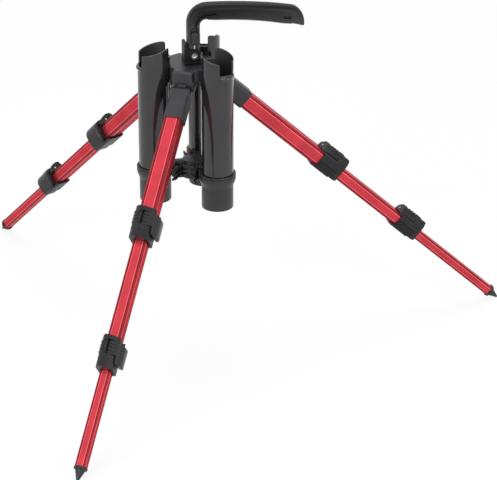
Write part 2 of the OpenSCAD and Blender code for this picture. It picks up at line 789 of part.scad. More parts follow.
module upper_lever(i) {
    color("#323234") in_leg(i) translate([0, 0, -upper_reach]) lever(upper_w);
}

module lower_clamp(i) {
    color("#2c2c2e") in_leg(i) translate([0, 0, -clamp2_top(i)]) clamp_body(mid_w, low_w);
}

module lower_lever_pin(i) {
    color("silver") in_leg(i) translate([0, 0, -clamp2_top(i)]) lever_pin_at(mid_w);
}

module lower_lever(i) {
    color("#323234") in_leg(i) translate([0, 0, -clamp2_top(i)]) lever(mid_w);
}

module mid_bush(i) {
    bush(i, upper_w, mid_w, mid_start(i));
}

module low_bush(i) {
    bush(i, mid_w, low_w, low_start);
}

hub();
leg_hinge_pins();
rod_tube(back_tube);  // back_rod_tube
rod_tube(left_tube);  // left_rod_tube
rod_tube(right_tube);  // right_rod_tube
end_cap(back_tube);  // back_end_cap
end_cap(left_tube);  // left_end_cap
end_cap(right_tube);  // right_end_cap
lower_spider();
tube_screws();
handle_bracket();
bracket_screws();
handle_pivot_bolt();
handle_pivot_nut();
handle_body();
grip_strip();
lock_spring();
lock_slider();
lock_pin();
knuckle(right);  // right_knuckle
upper_tube(right);  // right_upper_tube
upper_clamp(right);  // right_upper_clamp
upper_lever_pin(right);  // right_upper_lever_pin
upper_lever(right);  // right_upper_lever
mid_tube(right);  // right_mid_tube
mid_bush(right);  // right_mid_bush
lower_clamp(right);  // right_lower_clamp
lower_lever_pin(right);  // right_lower_lever_pin
lower_lever(right);  // right_lower_lever
low_tube(right);  // right_low_tube
low_bush(right);  // right_low_bush
foot(right);  // right_foot
knuckle(left);  // left_knuckle
upper_tube(left);  // left_upper_tube
upper_clamp(left);  // left_upper_clamp
upper_lever_pin(left);  // left_upper_lever_pin
upper_lever(left);  // left_upper_lever
mid_tube(left);  // left_mid_tube
mid_bush(left);  // left_mid_bush
lower_clamp(left);  // left_lower_clamp
lower_lever_pin(left);  // left_lower_lever_pin
lower_lever(left);  // left_lower_lever
low_tube(left);  // left_low_tube
low_bush(left);  // left_low_bush
foot(left);  // left_foot
knuckle(front);  // front_knuckle
upper_tube(front);  // front_upper_tube
upper_clamp(front);  // front_upper_clamp
upper_lever_pin(front);  // front_upper_lever_pin
upper_lever(front);  // front_upper_lever
mid_tube(front);  // front_mid_tube
mid_bush(front);  // front_mid_bush
lower_clamp(front);  // front_lower_clamp
lower_lever_pin(front);  // front_lower_lever_pin
lower_lever(front);  // front_lower_lever
low_tube(front);  // front_low_tube
low_bush(front);  // front_low_bush
foot(front);  // front_foot
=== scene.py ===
import math
from collections import namedtuple

import bpy
import bmesh
from mathutils import Matrix, Vector


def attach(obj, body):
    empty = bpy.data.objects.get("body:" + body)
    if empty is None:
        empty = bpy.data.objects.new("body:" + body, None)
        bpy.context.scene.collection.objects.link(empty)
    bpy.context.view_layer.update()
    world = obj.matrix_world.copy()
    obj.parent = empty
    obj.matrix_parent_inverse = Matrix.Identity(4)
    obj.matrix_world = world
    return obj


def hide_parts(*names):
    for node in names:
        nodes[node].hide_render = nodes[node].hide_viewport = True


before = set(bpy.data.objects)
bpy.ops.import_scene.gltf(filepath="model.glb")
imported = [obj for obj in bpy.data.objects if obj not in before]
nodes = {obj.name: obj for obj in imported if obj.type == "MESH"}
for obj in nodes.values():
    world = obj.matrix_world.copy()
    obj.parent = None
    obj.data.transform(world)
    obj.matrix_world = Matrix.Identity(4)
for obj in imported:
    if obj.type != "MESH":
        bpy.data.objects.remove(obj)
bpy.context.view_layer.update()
MM = 0.001
IN_PLACE = Matrix.Identity(4)
TO_MM = Matrix.Scale(1000, 4)

# The leg frames: x is a leg's upper face, y runs counter-clockwise, z runs up the leg from its hinge.
# Each leg has its name, its number round the hub and how far its mid section is drawn out.
LEG_ANGLE = math.radians(48)
LEG_LEN, SPIKE_R = 541, 1.2
HINGE_R = 28.0
HINGE_Z = LEG_LEN * math.cos(LEG_ANGLE) + SPIKE_R * math.sin(LEG_ANGLE)
HUB_TOP = HINGE_Z + 18
LEGS = [("right", 0, 103.0), ("left", 1, 114.0), ("front", 2, 127.0)]


def third_turn(i):
    return Matrix.Rotation(math.radians(120 * i), 4, "Z")


def leg_matrix(i):
    return third_turn(i) @ Matrix.Translation((HINGE_R, 0, HINGE_Z)) @ Matrix.Rotation(-LEG_ANGLE, 4, "Y")


# Materials

WHITE = (1, 1, 1, 1)


def new_material(name):
    m = bpy.data.materials.new(name)
    m.use_nodes = True
    tree = m.node_tree
    return m, tree, tree.nodes["Principled BSDF"]


def add(tree, kind, **sockets):
    n = tree.nodes.new(kind)
    for key, value in sockets.items():
        n.inputs[key.replace("_", " ")].default_value = value
    return n


def tone(color, k):
    return tuple(min(1.0, c * k) for c in color) + (1.0,)


def ramp(tree, low, high, color_low, color_high):
    r = tree.nodes.new("ShaderNodeValToRGB")
    r.color_ramp.elements[0].position = low
    r.color_ramp.elements[1].position = high
    r.color_ramp.elements[0].color = color_low
    r.color_ramp.elements[1].color = color_high
    return r


def span(tree, low, high):
    return add(tree, "ShaderNodeMapRange", From_Min=0.3, From_Max=0.7, To_Min=low, To_Max=high)


def plastic(name, color, rough, grain=2600.0, bump=0.12, coat=0.0, shine=0.4):
    """Moulded plastic: spark-eroded grain, soft colour drift and uneven gloss."""
    m, t, shader = new_material(name)
    coord = t.nodes.new("ShaderNodeTexCoord")
    fine = add(t, "ShaderNodeTexNoise", Scale=grain, Detail=3.0, Roughness=0.6)
    drift = add(t, "ShaderNodeTexNoise", Scale=45.0, Detail=4.0, Roughness=0.55)
    for n in (fine, drift):
        t.links.new(coord.outputs["Object"], n.inputs["Vector"])
    colours = ramp(t, 0.32, 0.7, tone(color, 0.82), tone(color, 1.2))
    t.links.new(drift.outputs["Fac"], colours.inputs["Fac"])
    t.links.new(colours.outputs["Color"], shader.inputs["Base Color"])
    gloss = span(t, rough - 0.07, rough + 0.07)
    t.links.new(drift.outputs["Fac"], gloss.inputs["Value"])
    t.links.new(gloss.outputs["Result"], shader.inputs["Roughness"])
    relief = add(t, "ShaderNodeBump", Strength=bump, Distance=0.0001)
    t.links.new(fine.outputs["Fac"], relief.inputs["Height"])
    t.links.new(relief.outputs["Normal"], shader.inputs["Normal"])
    shader.inputs["Specular IOR Level"].default_value = shine
    shader.inputs["Coat Weight"].default_value = coat
    shader.inputs["Coat Roughness"].default_value = 0.08
    return m


def metal(name, color, rough, turn=(0, 0, 0), metallic=1.0, edge=WHITE):
    """Drawn metal: fine lines along the piece, with the direction given by turn."""
    m, t, shader = new_material(name)
    coord = t.nodes.new("ShaderNodeTexCoord")
    swing = t.nodes.new("ShaderNodeMapping")
    swing.inputs["Rotation"].default_value = turn
    stretch = t.nodes.new("ShaderNodeMapping")
    stretch.inputs["Scale"].default_value = (1.0, 1.0, 0.012)
    t.links.new(coord.outputs["Object"], swing.inputs["Vector"])
    t.links.new(swing.outputs["Vector"], stretch.inputs["Vector"])
    drawn = add(t, "ShaderNodeTexNoise", Scale=2400.0, Detail=4.0, Roughness=0.6)
    t.links.new(stretch.outputs["Vector"], drawn.inputs["Vector"])
    cloud = add(t, "ShaderNodeTexNoise", Scale=38.0, Detail=3.0, Roughness=0.5)
    t.links.new(swing.outputs["Vector"], cloud.inputs["Vector"])
    colours = ramp(t, 0.3, 0.72, tone(color, 0.85), tone(color, 1.12))
    t.links.new(cloud.outputs["Fac"], colours.inputs["Fac"])
    t.links.new(colours.outputs["Color"], shader.inputs["Base Color"])
    gloss = span(t, rough - 0.06, rough + 0.08)
    t.links.new(drawn.outputs["Fac"], gloss.inputs["Value"])
    t.links.new(gloss.outputs["Result"], shader.inputs["Roughness"])
    relief = add(t, "ShaderNodeBump", Strength=0.10, Distance=0.00006)
    t.links.new(drawn.outputs["Fac"], relief.inputs["Height"])
    t.links.new(relief.outputs["Normal"], shader.inputs["Normal"])
    shader.inputs["Metallic"].default_value = metallic
    shader.inputs["Specular Tint"].default_value = edge
    return m


def fade_upward(m, low, high, at_low, at_high):
    """Scales a material's colour between two heights in metres."""
    t = m.node_tree
    color = t.nodes["Principled BSDF"].inputs["Base Color"]
    start = color.links[0].from_socket
    coord = t.nodes.new("ShaderNodeTexCoord")
    axes = t.nodes.new("ShaderNodeSeparateXYZ")
    t.links.new(coord.outputs["Object"], axes.inputs[0])
    level = add(t, "ShaderNodeMapRange", From_Min=low, From_Max=high, To_Min=at_low, To_Max=at_high)
    t.links.new(axes.outputs["Z"], level.inputs["Value"])
    scaled = t.nodes.new("ShaderNodeVectorMath")
    scaled.operation = "SCALE"
    t.links.new(start, scaled.inputs[0])
    t.links.new(level.outputs["Result"], scaled.inputs["Scale"])
    t.links.new(scaled.outputs["Vector"], color)


def leg_reds(name, color, rough, metallic, edge=WHITE):
    """One red for each leg, with its fine lines along that leg."""
    reds = []
    for leg, i, _ in LEGS:
        turn = leg_matrix(i).to_3x3().inverted().to_euler("XYZ")
        reds.append(metal(f"{name}_{leg}", color, rough, turn, metallic, edge))
    return reds


RED_EDGE = (0.75, 0.26, 0.29, 1)
red = leg_reds("red_anodised", (0.55, 0.048, 0.064), 0.30, 0.8, RED_EDGE)
# Painted shade: a deep red for the walls and floors of the leg grooves.
groove_shade_reds = leg_reds("red_groove_painted_shade", (0.22, 0.008, 0.015), 0.40, 0.6, RED_EDGE)
# Painted highlight: a bright red for the bevel inside each groove.
bevel_highlight_reds = leg_reds("red_bevel_painted_highlight", (0.90, 0.15, 0.17), 0.26, 0.8)
# Painted shade: a dark red for the strips from the grooves out to the corners.
red_corner_painted_shade = leg_reds("red_corner_painted_shade", (0.30, 0.016, 0.026), 0.30, 0.8)
dark_steel = metal("dark_steel", (0.10, 0.10, 0.105), 0.35)
steel = metal("steel", (0.62, 0.62, 0.62), 0.25)
tube_black = plastic("tube_black", (0.013, 0.012, 0.013), 0.13, grain=900.0, bump=0.02, coat=0.35, shine=0.45)
# The inside of the rod tubes: a rougher finish, and a colour lighter than tube_black that is painted light.
tube_bore_painted_light = plastic("tube_bore_painted_light", (0.030, 0.029, 0.031), 0.42, grain=900.0, bump=0.05)
black = plastic("black_plastic", (0.012, 0.012, 0.013), 0.44)
hub_black = plastic("hub_plastic", (0.028, 0.027, 0.031), 0.42, shine=0.32)
clamp_black = plastic("clamp_plastic", (0.009, 0.009, 0.011), 0.40, shine=0.3)
lever_black = plastic("lever_plastic", (0.012, 0.012, 0.014), 0.36, shine=0.32)
grip_black = plastic("handle_plastic", (0.010, 0.010, 0.011), 0.42, grain=1900.0, bump=0.2, shine=0.15)
bracket_black = plastic("bracket_plastic", (0.006, 0.006, 0.007), 0.46, grain=1900.0, bump=0.2, shine=0.18)
cap_black = plastic("cap_plastic", (0.020, 0.020, 0.021), 0.34)
slider_black = plastic("slider_plastic", (0.018, 0.018, 0.019), 0.40)
rubber = plastic("grip_rubber", (0.010, 0.010, 0.011), 0.72, grain=3200.0, bump=0.3)

# The handle's colour is scaled up below the stem's height and down above the grip's, so the stem is lighter
# than the grip.
STEM_HEIGHT, GRIP_HEIGHT = 0.424, 0.450
fade_upward(grip_black, STEM_HEIGHT, GRIP_HEIGHT, 4.2, 0.4)

# Shapes. Moulded pieces are worked in millimetres in their own frame, then placed in metres.


def link(name, data):
    o = bpy.data.objects.new(name, data)
    bpy.context.scene.collection.objects.link(o)
    return o


def drop(o):
    mesh = o.data
    bpy.data.objects.remove(o)
    if mesh.users == 0:
        bpy.data.meshes.remove(mesh)


def from_bmesh(name, bm):
    bmesh.ops.recalc_face_normals(bm, faces=bm.faces)
    mesh = bpy.data.meshes.new(name)
    bm.to_mesh(mesh)
    bm.free()
    return link(name, mesh)


def tool_box(lo, hi):
    bm = bmesh.new()
    bmesh.ops.create_cube(bm, size=1.0)
    for v in bm.verts:
        v.co = Vector((lo[k] + (v.co[k] + 0.5) * (hi[k] - lo[k]) for k in range(3)))
    return from_bmesh("tool", bm)


def tool_rod(a, b, r, sides=32):
    a, b = Vector(a), Vector(b)
    bm = bmesh.new()
    bmesh.ops.create_cone(bm, cap_ends=True, segments=sides, radius1=r, radius2=r, depth=(b - a).length)
    turn = (b - a).to_track_quat("Z", "Y").to_matrix().to_4x4()
    bmesh.ops.transform(bm, matrix=Matrix.Translation((a + b) / 2) @ turn, verts=bm.verts)
    return from_bmesh("tool", bm)


def skin(rings, closed_ends=True):
    """A mesh over rings that all have the same number of points."""
    bm = bmesh.new()
    rows = [[bm.verts.new(p) for p in ring] for ring in rings]
    n = len(rows[0])
    for a, b in zip(rows, rows[1:]):
        for j in range(n):
            bm.faces.new((a[j], a[(j + 1) % n], b[(j + 1) % n], b[j]))
    if closed_ends:
        bm.faces.new(rows[0][::-1])
        bm.faces.new(rows[-1])
    return bm


def prism(outline, y0, y1):
    """A solid from an outline in x and z, between two depths."""
    return from_bmesh("prism", skin([[(x, y, z) for x, z in outline] for y in (y0, y1)]))


def prism_z(outline, z0, z1):
    """A solid from an outline in x and y, between two heights."""
    return from_bmesh("prism", skin([[(x, y, z) for x, y in outline] for z in (z0, z1)]))


def prism_x(outline, x0, x1):
    """A solid from an outline in y and z, between two places along x."""
    return from_bmesh("prism", skin([[(x, y, z) for y, z in outline] for x in (x0, x1)]))


def lathe(name, profile, sides=96):
    """A closed solid of revolution: the profile is a closed loop of radius and height."""
    turns = [2 * math.pi * j / sides for j in range(sides)]
    rings = [[(r * math.cos(a), r * math.sin(a), z) for a in turns] for r, z in profile]
    return from_bmesh(name, skin(rings + rings[:1], False))


def arc(cx, cz, r, start, stop, steps=8):
    """Points along an arc, with its start and stop in degrees."""
    turns = [math.radians(start + (stop - start) * k / steps) for k in range(steps + 1)]
    return [(cx + r * math.cos(a), cz + r * math.sin(a)) for a in turns]


def shape_of(node, into=IN_PLACE):
    """A welded copy of a CAD node in millimetres, seen from the frame whose matrix is given."""
    bm = bmesh.new()
    bm.from_mesh(nodes[node].data)
    bmesh.ops.remove_doubles(bm, verts=bm.verts, dist=0.000004)
    bmesh.ops.transform(bm, matrix=into.inverted() @ TO_MM, verts=bm.verts)
    return from_bmesh("shape", bm)


def bake(o):
    """Puts an object's modifiers into its mesh."""
    dg = bpy.context.evaluated_depsgraph_get()
    mesh = bpy.data.meshes.new_from_object(o.evaluated_get(dg))
    o.modifiers.clear()
    old = o.data
    o.data = mesh
    bpy.data.meshes.remove(old)
    return o


def carve(o, tools, operation="DIFFERENCE"):
    for tool in tools:
        m = o.modifiers.new("carve", "BOOLEAN")
        m.operation = operation
        m.solver = "EXACT"
        m.object = tool
    bake(o)
    for tool in tools:
        drop(tool)
    return o


def mould(o, voxel, passes=3, keep=0.25):
    """Rounds every edge as moulding does: an even skin of small faces, relaxed, then thinned."""
    m = o.modifiers.new("skin", "REMESH")
    m.mode = "VOXEL"
    m.voxel_size = voxel
    m = o.modifiers.new("relax", "SMOOTH")
    m.factor = 0.5
    m.iterations = passes
    m = o.modifiers.new("thin", "DECIMATE")
    m.ratio = keep
    bake(o)
    return o


def place(name, shape, matrix, material, body, stands_for=()):
    """Puts a copy of a shape in millimetres into the scene, riding on a body."""
    mesh = shape.data.copy()
    mesh.name = name
    mesh.transform(Matrix.Scale(MM, 4) @ matrix)
    mesh.materials.clear()
    mesh.materials.append(material)
    mesh.shade_smooth()
    o = link(name, mesh)
    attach(o, body)
    if stands_for:
        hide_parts(*stands_for)
    return o


def dress(o, material):
    o.data.materials.clear()
    o.data.materials.append(material)


# Every CAD node gets a plain material, which shows on those that nothing below replaces.
for name, o in nodes.items():
    leg = next((k for k, (n, _, _) in enumerate(LEGS) if name.startswith(n + "_")), None)
    if name.endswith(("upper_tube", "mid_tube", "low_tube")):
        dress(o, red[leg])
    elif name.endswith("rod_tube"):
        dress(o, tube_black)
    elif name == "grip_strip":
        dress(o, rubber)
    elif name in ("leg_hinge_pins", "lock_spring"):
        dress(o, dark_steel)
    elif name.endswith(("pin", "screws", "bolt", "nut")):
        dress(o, steel)
    else:
        dress(o, black)

# Leg sections: square tube with rounded corners and two fine grooves along each face

TUBE_START, UPPER_END, LOW_END, SLIDE_LEN = 28.0, 215.0, 523.0, 198.0
UPPER_CLAMP, LOWER_CLAMP, MID_PAST = 185.0, 231.0, 30.0
GROOVE_AT, GROOVE_HALF, GROOVE_D = 0.335, 0.5, 0.7
BEVEL_IN, BEVEL_OUT, BEVEL_D = 0.9, 0.3, 0.2
FACE_BOW = 0.3


def section_outline(w):
    """One face from corner to corner, a little bowed, turned through the four sides."""
    corner, half, depth = w * 0.10, GROOVE_HALF, GROOVE_D
    run = []
    for side in (-1, 1):
        c = side * w * GROOVE_AT
        before, after = (BEVEL_OUT, BEVEL_IN) if side < 0 else (BEVEL_IN, BEVEL_OUT)
        run += [(c - half - before, 0), (c - half, BEVEL_D), (c - half + 0.1, depth)]
        run += [(c + half - 0.1, depth), (c + half, BEVEL_D), (c + half + after, 0)]
        if side < 0:
            run += [(w * 0.08 * k, 0) for k in range(-2, 3)]
    face = [(w / 2 - d - FACE_BOW * (2 * t / w) ** 2, t) for t, d in run]
    centre, radius = w / 2 - corner, corner - FACE_BOW * 0.6
    bend = arc(centre, centre, radius, 0, 90, 6)
    out = []
    for k in range(4):
        c, q = round(math.cos(math.pi / 2 * k)), round(math.sin(math.pi / 2 * k))
        out += [(c * x - q * y, q * x + c * y) for x, y in face + bend]
    return out


def make_section(w, inner, length):
    """A leg section of width w with a square bore, hanging down from z = 0."""
    o = prism_z(section_outline(w), -length, 0)
    return carve(o, [tool_box((-inner, -inner, -length - 1), (inner, inner, 1))])


def paint_shade_and_highlight(o, w, frame_of_leg, reds):
    """Paints shade into the grooves with the deepest red, a highlight onto the bevel inside them with a
    bright red, and shade onto the strips out to the corners with a dark red.
    """
    for red_tone in reds:
        o.data.materials.append(red_tone)
    back = frame_of_leg.inverted() @ TO_MM
    reach = GROOVE_HALF + 0.02
    for poly in o.data.polygons:
        c = back @ poly.center
        sunk = w / 2 - max(abs(c.x), abs(c.y))
        past = min(abs(c.x), abs(c.y)) - w * GROOVE_AT
        # Painted shade in the grooves.
        if abs(past) < reach and 0.35 < sunk < 1.2:
            poly.material_index = 1
        # Painted highlight on the bevel inside each groove.
        elif -1.1 < past < -0.8 and sunk < 0.5:
            poly.material_index = 2
        # Painted shade from the grooves out to the corners.
        elif past > reach:
            poly.material_index = 3


# Name, width, half the bore and length of each section
SECTIONS = (("upper", 22.0, 9.6, UPPER_END - TUBE_START), ("mid", 17.2, 7.6, SLIDE_LEN),
            ("low", 13.2, 5.6, SLIDE_LEN))
for part, w, inner, length in SECTIONS:
    shape = make_section(w, inner, length)
    for k, (leg, _, drawn_out) in enumerate(LEGS):
        top = {"upper": TUBE_START, "mid": LOWER_CLAMP + drawn_out + MID_PAST - SLIDE_LEN,
               "low": LOW_END - SLIDE_LEN}[part]
        body = f"{leg}_leg" if part == "upper" else f"{leg}_{part}_leg"
        there = leg_matrix(k) @ Matrix.Translation((0, 0, -top))
        o = place(f"{leg}_{part}_tube_drawn", shape, there, red[k], body, [f"{leg}_{part}_tube"])
        o.data.set_sharp_from_angle(angle=math.radians(24))
        # Painted shade in the grooves and out to the corners, and a painted highlight on each groove's bevel.
        paint_shade_and_highlight(o, w, leg_matrix(k), (groove_shade_reds[k], bevel_highlight_reds[k], red_corner_painted_shade[k]))
    drop(shape)

# Clamps and levers: one shape for the three upper ones and one for the three lower ones. Their frame is the
# leg's, with z measured from the clamp's top.

BLOCK_LEN = 31.0
CLAMP_LEN = 46.0
WALL = 2.5
LEVER_Y = 2.0
FACE_RISE = 6.0
TOWER_RISE = 9.6
PAD_EDGE = -2.1
PIN_RISE = 2.4
BARREL_R = 4.05
WINDOW_TOP, WINDOW_LOW = -6.1, -24.9
LEVER_TOP, LEVER_LOW = -6.3, -24.7
BAR_Z, BAR_STEP = -8.3, 4.5


def clamp_frame(leg, level):
    top = UPPER_CLAMP if level == "upper" else LOWER_CLAMP + LEGS[leg][2]
    return leg_matrix(leg) @ Matrix.Translation((0, 0, -top))


def lever_outline(outer):
    """The lever across the leg: a flat part on the clamp's face, and a plate that bows down its side."""
    face = outer / 2 + WALL
    under, top = face + 0.3, face + FACE_RISE - 0.3
    flat = [(under, LEVER_Y), (top, LEVER_Y), (top, face - 5.0)]
    bow = [(top - 0.5, face - 2.4), (top - 1.8, face + 0.4), (top - 4.2, face + 3.2),
           (top - 7.4, face + 5.4), (top - 11.2, face + 6.7), (top - 15.2, face + 7.1),
           (top - 19.6, face + 6.8), (top - 24.4, face + 5.8)]
    end = [(1.8 - face, face + 4.5), (0.9 - face, face + 3.5), (1.2 - face, face + 2.0)]
    inside = [(-5.0, face + 1.2), (3.0, face + 0.7), (under - 1.4, face + 0.6), (under, face - 1.6)]
    return flat + bow + end + inside


def make_clamp(level, outer, inner):
    """The clamp: a tall pad with bars beside the lever's window, a roof at both ends and a collar below."""
    face = outer / 2 + WALL
    ring = inner / 2 + 3.3
    o = shape_of(f"right_{level}_clamp", clamp_frame(0, level))
    panel = [(-ring + 2.0, -CLAMP_LEN + 0.8), (ring - 1.0, -CLAMP_LEN + 0.8), (face + 0.8, -BLOCK_LEN - 6.0),
             (face + 0.8, -BLOCK_LEN + 4.0), (-ring + 2.0, -BLOCK_LEN + 4.0)]
    crest = face + TOWER_RISE
    rise = [(face + 1.0, 0.4 - face), (face + 4.4, 1.2 - face), (face + 7.4, 3.4 - face),
            (crest, PAD_EDGE - 5.2)]
    pad = rise + [(crest - 0.6, PAD_EDGE - 3.4), (face + 5.9, PAD_EDGE), (face - 1.0, PAD_EDGE),
                  (face - 1.0, 0.1 - face)]
    bar = [(face + 1.0, 0.2 - face), (face + 4.8, 0.3 - face), (face + 8.2, 2.8 - face),
           (crest + 0.9, PAD_EDGE - 5.2), (crest + 0.3, PAD_EDGE - 3.4), (face + 6.6, PAD_EDGE - 0.7),
           (face + 1.0, PAD_EDGE - 0.7)]
    slope = [(face + 1.0, face - 0.4), (face - 1.0, face - 0.2), (face - 1.0, 0.4 - face)]
    roof = rise + [(crest + 0.3, -2.4), (crest - 0.9, 1.6), (crest - 3.2, 5.4), (face + 4.0, face - 3.4)]
    roof += slope
    skirt = [(x - 1.0, y) for x, y in rise]
    skirt += [(crest - 1.0, -2.4), (crest - 2.2, 1.6), (crest - 4.4, 5.4), (face + 2.6, face - 3.0)]
    skirt += [(face + 0.6, face - 0.6), (inner / 2 + 1.2, face - 0.6), (inner / 2 + 1.2, 0.6 - face)]
    adds = [prism(panel, -face + 0.02, -ring + 1.2), prism_z(pad, 0.6 - BLOCK_LEN, -0.6),
            prism_z(skirt, -CLAMP_LEN + 0.6, -BLOCK_LEN + 1.0)]
    adds += [prism_z(roof, z0, z1) for z0, z1 in ((WINDOW_TOP, -0.6), (-BLOCK_LEN - 0.6, WINDOW_LOW))]
    adds += [prism_z(bar, BAR_Z - 2.6 - BAR_STEP * k, BAR_Z - BAR_STEP * k) for k in range(4)]
    carve(o, adds, "UNION")
    # Room for the lever's barrel and pin, and a lower end cut at a slant
    pin = face + PIN_RISE
    low = [(-ring - 4, -42.9), (crest + 6, -41.6), (crest + 6, -60), (-ring - 4, -60)]
    barrel = tool_rod((pin, LEVER_Y, WINDOW_LOW), (pin, LEVER_Y, WINDOW_TOP), BARREL_R + 0.35)
    cuts = [barrel, prism(low, -40, 40), tool_rod((pin, LEVER_Y, -3.0), (pin, LEVER_Y, 4.0), 1.7)]
    # A mouth in both sides at the top, rounded at its lower corners
    for side in (-1, 1):
        y = sorted((side * (outer / 2 - 0.4), side * (face + 2)))
        mouth = [(-outer / 2 + 1.0, 2), (-outer / 2 + 1.0, -3.6)] + arc(-outer / 2 + 4.0, -3.6, 3.0, 180, 270)
        mouth += arc(outer / 2 - 4.0, -3.6, 3.0, 270, 360) + [(outer / 2 - 1.0, 2)]
        cuts.append(prism(mouth, y[0], y[1]))
    # A shallow pocket for the studs, and a slit along the pad with a short one across its lower end
    cuts.append(tool_box((1.0 - face, -face - 1, -37.8), (13.2 - face, 0.8 - face, -7.2)))
    cuts.append(tool_box((face - 0.9, -face - 1, -25.6), (face + 0.3, -face + 1.3, -6)))
    cuts.append(tool_box((face - 0.9, -face - 1, -25.6), (face + 4.0, -face + 2.0, -24.4)))
    carve(o, cuts)
    return mould(o, 0.34, 2, 0.22)


def make_studs(outer):
    """Small studs in rows along the clamp's side, for the fingers."""
    face = outer / 2 + WALL
    step = 3.0
    bm = bmesh.new()
    for row in range(4):
        for k in range(10):
            d = bmesh.ops.create_uvsphere(bm, u_segments=10, v_segments=8, radius=1.05)
            x = -face + 2.6 + step * row
            for v in d["verts"]:
                v.co = Vector((v.co.x + x, v.co.y - face + 0.75, v.co.z - 9.0 - step * k))
    return from_bmesh("studs", bm)


def make_lever(outer):
    """The lever: its outline cut to its shape from two sides, a barrel round the pin, and grooves on top."""
    face = outer / 2 + WALL
    o = prism_z(lever_outline(outer), -CLAMP_LEN, 0)
    front = [(LEVER_Y - 6, LEVER_TOP), (face - 1.5, LEVER_TOP), (face + 2.0, -6.9), (face + 5.0, -8.4)]
    front += [(face + 6.8, -10.8), (face + 7.6, -14.0), (face + 8.0, -18.0), (face + 8.0, -31.2)]
    front += arc(face + 3.6, -31.2, 4.4, 0, -90, 8) + [(face + 1.6, -35.0), (face + 0.4, -33.6)]
    front += [(face + 0.4, LEVER_LOW), (LEVER_Y - 6, LEVER_LOW)]
    back = 0.4 - face
    side = [(60, -6.2)] + arc(back + 8, -14.2, 8, 90, 180) + arc(back + 8, -27.2, 8, 180, 270) + [(60, -35.2)]
    carve(o, [prism_x(front, -40, 60), prism(side, -40, 60)], "INTERSECT")
    pin = face + PIN_RISE
    barrel = tool_rod((pin, LEVER_Y, LEVER_LOW), (pin, LEVER_Y, LEVER_TOP), BARREL_R)
    carve(o, [barrel], "UNION")
    cuts = [tool_rod((pin, LEVER_Y, -30), (pin, LEVER_Y, 0), 1.32)]
    top = face + FACE_RISE - 0.3
    for k in range(4):
        z = BAR_Z - BAR_STEP * k
        cuts.append(tool_box((top - 1.3, -3.0, z - BAR_STEP), (top + 2, 8.4, z - 2.6)))
    carve(o, cuts)
    return mould(o, 0.34, 3, 0.25)


# The widths of the solids' sections above and below each clamp
SIZES = {"upper": (22.0, 18.0), "lower": (18.0, 14.0)}
for level, (outer, inner) in SIZES.items():
    clamp = make_clamp(level, outer, inner)
    lever = make_lever(outer)
    studs = make_studs(outer)
    for k, (leg, _, _) in enumerate(LEGS):
        m = clamp_frame(k, level)
        body = f"{leg}_leg" if level == "upper" else f"{leg}_mid_leg"
        place(f"{leg}_{level}_clamp_moulded", clamp, m, clamp_black, body, [f"{leg}_{level}_clamp"])
        place(f"{leg}_{level}_clamp_studs", studs, m, clamp_black, body)
        place(f"{leg}_{level}_lever_moulded", lever, m, lever_black, f"{leg}_{level}_latch",
              [f"{leg}_{level}_lever"])
    drop(clamp)
    drop(lever)
    drop(studs)

# Hub, spider, bracket, knuckles and feet

CAP_LEN = 48
CAP_Z = HUB_TOP - 186
CAP_TOP = CAP_Z + CAP_LEN
CLIP_FLOOR, CLIP_HALF, FINGER_T, FINGER_TIP = 16.5, 11.4, 2.6, 35.0
KNUCKLE_W = 25.4
SPIDER_MID = CAP_TOP + 4 - 12


def open_cheeks(o):
    """Cuts the cheeks back under the front of each arm, so that the knuckle's neck stands free."""
    cuts = []
    for k in range(3):
        for side in (-1, 1):
            y = sorted((side * 6.6, side * 15))
            box = tool_box((33.0, y[0], HINGE_Z - 14), (42, y[1], HINGE_Z - 0.4))
            box.data.transform(third_turn(k))
            cuts.append(box)
    return carve(o, cuts)


def rib_clips(o):
    """Adds thin ribs round the outside of the leg clips, and cuts two flat slots round the spider."""
    ribs = []
    out = CLIP_HALF + FINGER_T
    for k in range(3):
        for side in (-1, 1):
            line = [(FINGER_TIP - 7, out - 1), (FINGER_TIP - 8, out + 1.1), (CLIP_FLOOR - 2, out + 1.1),
                    (CLIP_FLOOR - 10, out - 1.9), (CLIP_FLOOR - 10, out - 4)]
            for z in (-6.4, -0.7, 5.0):
                rib = prism_z([(x, side * y) for x, y in line], SPIDER_MID + z, SPIDER_MID + z + 1.4)
                rib.data.transform(third_turn(k))
                ribs.append(rib)
    carve(o, ribs, "UNION")
    slots = []
    for z in (SPIDER_MID - 4.8, SPIDER_MID + 1.1):
        slots.append(lathe("tool", [(15.0, z), (90.0, z), (90.0, z + 2.6), (15.0, z + 2.6)]))
    return carve(o, slots)


def mould_node(node, material, voxel, rework=None):
    """Moulds a CAD node of the stand, after some rework of its shape."""
    o = shape_of(node)
    if rework:
        rework(o)
    mould(o, voxel, 3, 0.3)
    place(f"{node}_moulded", o, IN_PLACE, material, "stand", [node])
    drop(o)


mould_node("hub", hub_black, 0.55, open_cheeks)
mould_node("lower_spider", black, 0.5, rib_clips)
mould_node("handle_bracket", bracket_black, 0.4)


def make_knuckle():
    """The knuckle, with a shoulder that fills the space under the front of the hub's arm."""
    o = shape_of("right_knuckle", leg_matrix(0))
    half = KNUCKLE_W / 2
    shoulder = prism([(5.6, -8.2), (half, -16.4), (half, -24), (5.6, -24)], -half, half)
    crown = [(-half, -40), (-half, -16)] + arc(-half + 6.5, -16, 6.5, 180, 110, 6)
    crown += arc(half - 6.5, -16, 6.5, 70, 0, 6) + [(half, -40)]
    carve(shoulder, [prism_x(crown, -30, 40)], "INTERSECT")
    carve(o, [shoulder], "UNION")
    return mould(o, 0.45, 4, 0.3)


